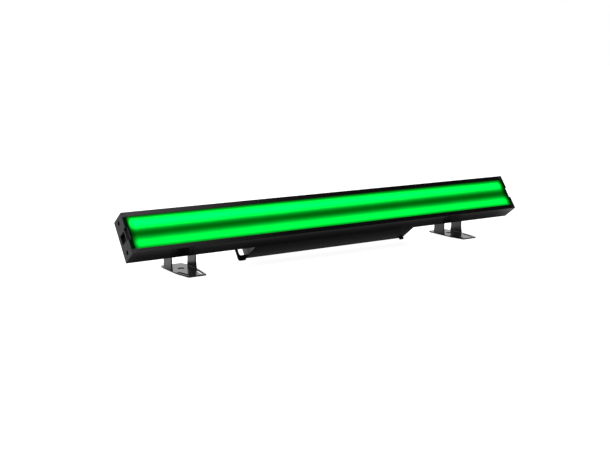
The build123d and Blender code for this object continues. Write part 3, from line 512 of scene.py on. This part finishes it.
def new_piece(name, mesh_maker, material):
    """A mesh object made by filling a bmesh, riding on the bar."""
    mesh = bpy.data.meshes.new(name)
    made = bmesh.new()
    mesh_maker(made)
    bmesh.ops.recalc_face_normals(made, faces=made.faces)
    made.to_mesh(mesh)
    made.free()
    mesh.materials.append(material)
    piece = bpy.data.objects.new(name, mesh)
    bpy.context.scene.collection.objects.link(piece)
    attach(piece, "bar")


def plate(made, outline, near, far):
    """A flat plate on the bar: its outline in x and w, between two depths, in millimetres."""
    front = [made.verts.new(on_bar(x, near, w)) for x, w in outline]
    back = [made.verts.new(on_bar(x, far, w)) for x, w in outline]
    made.faces.new(front)
    made.faces.new(back[::-1])
    for here in range(len(outline)):
        after = (here + 1) % len(outline)
        made.faces.new((front[after], front[here], back[here], back[after]))


def moved(outline, x, w):
    """The same outline, moved along and up the bar."""
    return [(px + x, pw + w) for px, pw in outline]


CLEAR = 0.02             # how far a thin piece stays off the surface under it
COVER_BACK = 94.6        # outer face of the rear cover, in mm behind the bar's front face
DISPLAY_FACE = 91.7      # front of the display module, behind the smoked window
DISPLAY_W = 52.0         # height of the digits' middle
DIGIT_PITCH = 8.5
SEGMENT_LENGTH = 4.0
SEGMENT_WIDTH = 1.0
SEGMENT_RISE = 0.25
SEGMENT_GAP = 0.35       # how far each segment's end stands off its corner
SEGMENTS = {             # each segment's place in halves of the digit's width and height
    "top": (0, 1), "middle": (0, 0), "bottom": (0, -1),
    "upper left": (1, 0.5), "upper right": (-1, 0.5),
    "lower left": (1, -0.5), "lower right": (-1, -0.5),
}
ZERO = [name for name in SEGMENTS if name != "middle"]
ONE = ["upper right", "lower right"]


def segment_outline(upright):
    """A pointed bar, the usual shape of one segment."""
    reach = SEGMENT_LENGTH / 2
    half = SEGMENT_WIDTH / 2
    outline = [(-reach, 0), (half - reach, half), (reach - half, half),
               (reach, 0), (reach - half, -half), (half - reach, -half)]
    return [(w, x) for x, w in outline] if upright else outline


def display_digits(made):
    """Lit segments that read 001 from behind the object, where +x is on the left."""
    half_width = SEGMENT_LENGTH / 2 + SEGMENT_GAP
    half_height = SEGMENT_LENGTH + 2 * SEGMENT_GAP
    for place, digit in zip((DIGIT_PITCH, 0, -DIGIT_PITCH), (ZERO, ZERO, ONE)):
        for name in digit:
            across, up = SEGMENTS[name]
            outline = segment_outline(upright=across != 0)
            outline = moved(outline, place + across * half_width, DISPLAY_W + up * half_height)
            plate(made, outline, DISPLAY_FACE + CLEAR, DISPLAY_FACE + SEGMENT_RISE)


BUTTON_PITCH = 17.0
MARK_W = 37.6            # height of the printed marks over the buttons
MARK_REACH = 1.8         # half the width of a mark
STROKE = 0.25            # half the width of a stroke of the menu mark
MENU_PITCH = 1.2         # between its strokes
INK = 0.12               # thickness of the print
INK_LEVEL = (COVER_BACK + CLEAR / 2, COVER_BACK + INK)


def panel_marks(made):
    """Printed marks over the four buttons: menu, down, up and enter, and a line round the panel."""
    menu, down, up, enter = [BUTTON_PITCH * step for step in (1.5, 0.5, -0.5, -1.5)]
    stroke = [(-MARK_REACH, -STROKE), (MARK_REACH, -STROKE), (MARK_REACH, STROKE),
              (-MARK_REACH, STROKE)]
    for step in (-1, 0, 1):
        plate(made, moved(stroke, menu, MARK_W + step * MENU_PITCH), *INK_LEVEL)
    triangle = [(-MARK_REACH, -1.3), (MARK_REACH, -1.3), (0, 1.5)]
    plate(made, moved(triangle, up, MARK_W), *INK_LEVEL)
    plate(made, moved([(x, -w) for x, w in triangle], down, MARK_W), *INK_LEVEL)
    arrow = [(1.9, 0), (0.2, 1.2), (0.2, 0.3), (-1.5, 0.3), (-1.5, 1.5), (-2.0, 1.5),
             (-2.0, -0.3), (0.2, -0.3), (0.2, -1.2)]
    plate(made, moved(arrow, enter, MARK_W), *INK_LEVEL)
    panel_line(made)


PANEL_X_REACH = 36.0
PANEL_WS = (22.0, 66.0)
PANEL_CORNER = 3.0
LINE = 0.45              # width of the printed line


def panel_line(made):
    """Printed line round the window and the buttons, with rounded corners."""
    def loop(inset):
        """The line's outline, this far inside its outer edge."""
        radius = PANEL_CORNER - inset
        reach = PANEL_X_REACH - inset - radius
        low, high = PANEL_WS[0] + inset + radius, PANEL_WS[1] - inset - radius
        corners = [(reach, high, 0), (-reach, high, 90), (-reach, low, 180), (reach, low, 270)]
        return [(x + radius * math.cos(math.radians(start + turn)),
                 w + radius * math.sin(math.radians(start + turn)))
                for x, w, start in corners for turn in (0, 22.5, 45, 67.5, 90)]

    outer, inner = loop(0), loop(LINE)
    for here in range(len(outer)):
        after = (here + 1) % len(outer)
        plate(made, [outer[here], outer[after], inner[after], inner[here]], *INK_LEVEL)


LENS_WS = (10.6, 79.4)   # visible height of the lens, in mm up the face
LENS_END_XS = (490.2, 499.0)
RELIEF_WS = (30.6, 57.4) # the relief in the cap's front edge, which the lens end leaves clear
RELIEF_X = 494.3
LENS_END_RISE = 0.15


def lens_ends(made):
    """Dark borders that carry the lens's face on over the end caps, at both ends."""
    near, far = LENS_END_XS
    low, high = LENS_WS
    outline = [(near, low), (far, low), (far, RELIEF_WS[0]), (RELIEF_X, RELIEF_WS[0]),
               (RELIEF_X, RELIEF_WS[1]), (far, RELIEF_WS[1]), (far, high), (near, high)]
    for side in (-1, 1):
        plate(made, [(side * x, w) for x, w in outline], -LENS_END_RISE, -CLEAR)


def add_details():
    """The three pieces that aren't CAD nodes."""
    new_piece("lens_ends", lens_ends, MATERIALS["opal_lens"])
    new_piece("display_digits", display_digits, display_glow("display_glow"))
    new_piece("panel_marks", panel_marks, panel_ink("panel_ink"))


# ---- camera, floor and light ---------------------------------------------------------

CAMERA_AT = (-1.2369, -1.7947, 0.4539)
CAMERA_LENS = 59.0       # mm, on a 36 mm wide sensor
CAMERA_TURN = 33.06      # degrees from straight ahead towards the bar's right end
CAMERA_DIP = 10.245      # degrees below level


def add_camera():
    """The camera, at the left front and a little above."""
    data = bpy.data.cameras.new("camera")
    data.lens = CAMERA_LENS
    data.sensor_width = 36.0
    data.clip_start = 0.01
    camera = bpy.data.objects.new("camera", data)
    camera.location = CAMERA_AT
    camera.rotation_euler = (math.radians(90 - CAMERA_DIP), 0, math.radians(-CAMERA_TURN))
    bpy.context.scene.collection.objects.link(camera)
    bpy.context.scene.camera = camera


def add_floor():
    """A wide plain floor that the feet stand on."""
    bpy.ops.mesh.primitive_plane_add(size=30)
    floor = bpy.context.object
    floor.name = "floor"
    floor.data.materials.append(floor_painted_light("floor_painted_light"))


DIM_STUDIO = 0.02        # brightness of the dark front and top of the studio
SOFTBOX = 2.3            # brightness of the large softbox overhead, on the left
# its edges on a ceiling 1 m up, each as where its light begins and where it is full
SOFTBOX_RIGHT = (0.70, 0.36)
SOFTBOX_LEFT = (-1.6, -1.2)
SOFTBOX_FRONT = (-0.60, -0.50)
SOFTBOX_BACK = (0.6, 0.3)
SOFTBOX_LOW = (0.3, 0.4) # upward part of a direction, of 1
OVERHEAD = 0.5           # brightness straight above and above the back
OVERHEAD_FRONT = (-0.25, 0.1)
OVERHEAD_LOW = (0.45, 0.6)
REAR_SOFTBOX = 8.0       # watts
REAR_SOFTBOX_AT = (0.0, 2.2, 1.6)
REAR_SOFTBOX_SIZE = (2.4, 0.8)


class Studio:
    """The surroundings, as brightness by direction."""

    def __init__(self):
        self.world = bpy.data.worlds.new("studio")
        self.world.use_nodes = True
        self.tree = self.world.node_tree
        self.background = self.tree.nodes["Background"]
        self.background.inputs["Color"].default_value = (1, 1, 1, 1)
        direction = self.tree.nodes.new("ShaderNodeTexCoord").outputs["Generated"]
        split = self.tree.nodes.new("ShaderNodeSeparateXYZ")
        self.tree.links.new(direction, split.inputs["Vector"])
        self.x, self.y, self.z = split.outputs

    def math(self, operation, *values):
        """Arithmetic on values that are numbers or sockets."""
        made = self.tree.nodes.new("ShaderNodeMath")
        made.operation = operation
        for socket, value in zip(made.inputs, values):
            if isinstance(value, (int, float)):
                socket.default_value = value
            else:
                self.tree.links.new(value, socket)
        return made.outputs["Value"]

    def fade(self, value, start, end, top=1.0):
        """Nothing at start, rising smoothly to top at end."""
        made = self.tree.nodes.new("ShaderNodeMapRange")
        made.interpolation_type = "SMOOTHSTEP"
        limits = zip(("From Min", "From Max", "To Min", "To Max"), (start, end, 0.0, top))
        for name, number in limits:
            made.inputs[name].default_value = number
        self.tree.links.new(value, made.inputs["Value"])
        return made.outputs["Result"]

    def product(self, *values):
        """All the values multiplied together."""
        result = values[0]
        for value in values[1:]:
            result = self.math("MULTIPLY", result, value)
        return result


def backdrop_light(studio):
    """White backdrop behind, dimmer at the rear left, and a grey one on the left."""
    side = studio.math("ADD", studio.fade(studio.x, -0.4, 0.1, 0.8), 0.2)
    rear = studio.math("MULTIPLY", studio.fade(studio.y, -0.1, 0.3), side)
    left = studio.fade(studio.x, -0.3, -0.8, 0.6)
    low = studio.fade(studio.z, 0.8, 0.45)
    return studio.math("MULTIPLY", studio.math("MAXIMUM", rear, left), low)


def softbox_lights(studio):
    """Two soft patches overhead, placed by where a direction meets a ceiling 1 m up."""
    up = studio.math("MAXIMUM", studio.z, 0.05)
    across = studio.math("DIVIDE", studio.x, up)
    back = studio.math("DIVIDE", studio.y, up)
    softbox = studio.product(
        studio.fade(across, *SOFTBOX_RIGHT), studio.fade(across, *SOFTBOX_LEFT),
        studio.fade(back, *SOFTBOX_FRONT), studio.fade(back, *SOFTBOX_BACK),
        studio.fade(studio.z, *SOFTBOX_LOW), SOFTBOX)
    overhead = studio.product(
        studio.fade(back, *OVERHEAD_FRONT), studio.fade(studio.z, *OVERHEAD_LOW), OVERHEAD)
    return softbox, overhead


def add_world():
    """White backdrop behind the object, soft light overhead, and a dark studio in front."""
    studio = Studio()
    lit = DIM_STUDIO
    for source in (backdrop_light(studio), *softbox_lights(studio)):
        lit = studio.math("MAXIMUM", lit, source)
    seen = studio.tree.nodes.new("ShaderNodeLightPath").outputs["Is Camera Ray"]
    lit = studio.math("MAXIMUM", lit, seen)
    studio.tree.links.new(lit, studio.background.inputs["Strength"])
    bpy.context.scene.world = studio.world


def add_rear_light():
    """A weak softbox behind the object, aimed at it."""
    data = bpy.data.lights.new("behind", "AREA")
    data.shape = "RECTANGLE"
    data.size, data.size_y = REAR_SOFTBOX_SIZE
    data.energy = REAR_SOFTBOX
    light = bpy.data.objects.new("behind", data)
    light.location = REAR_SOFTBOX_AT
    aim = -Vector(REAR_SOFTBOX_AT)
    light.rotation_euler = aim.to_track_quat("-Z", "Y").to_euler()
    bpy.context.scene.collection.objects.link(light)


def main():
    """Builds the scene."""
    dress_nodes()
    add_details()
    add_camera()
    add_floor()
    add_world()
    add_rear_light()
    bpy.context.scene.view_settings.view_transform = "Standard"


main()
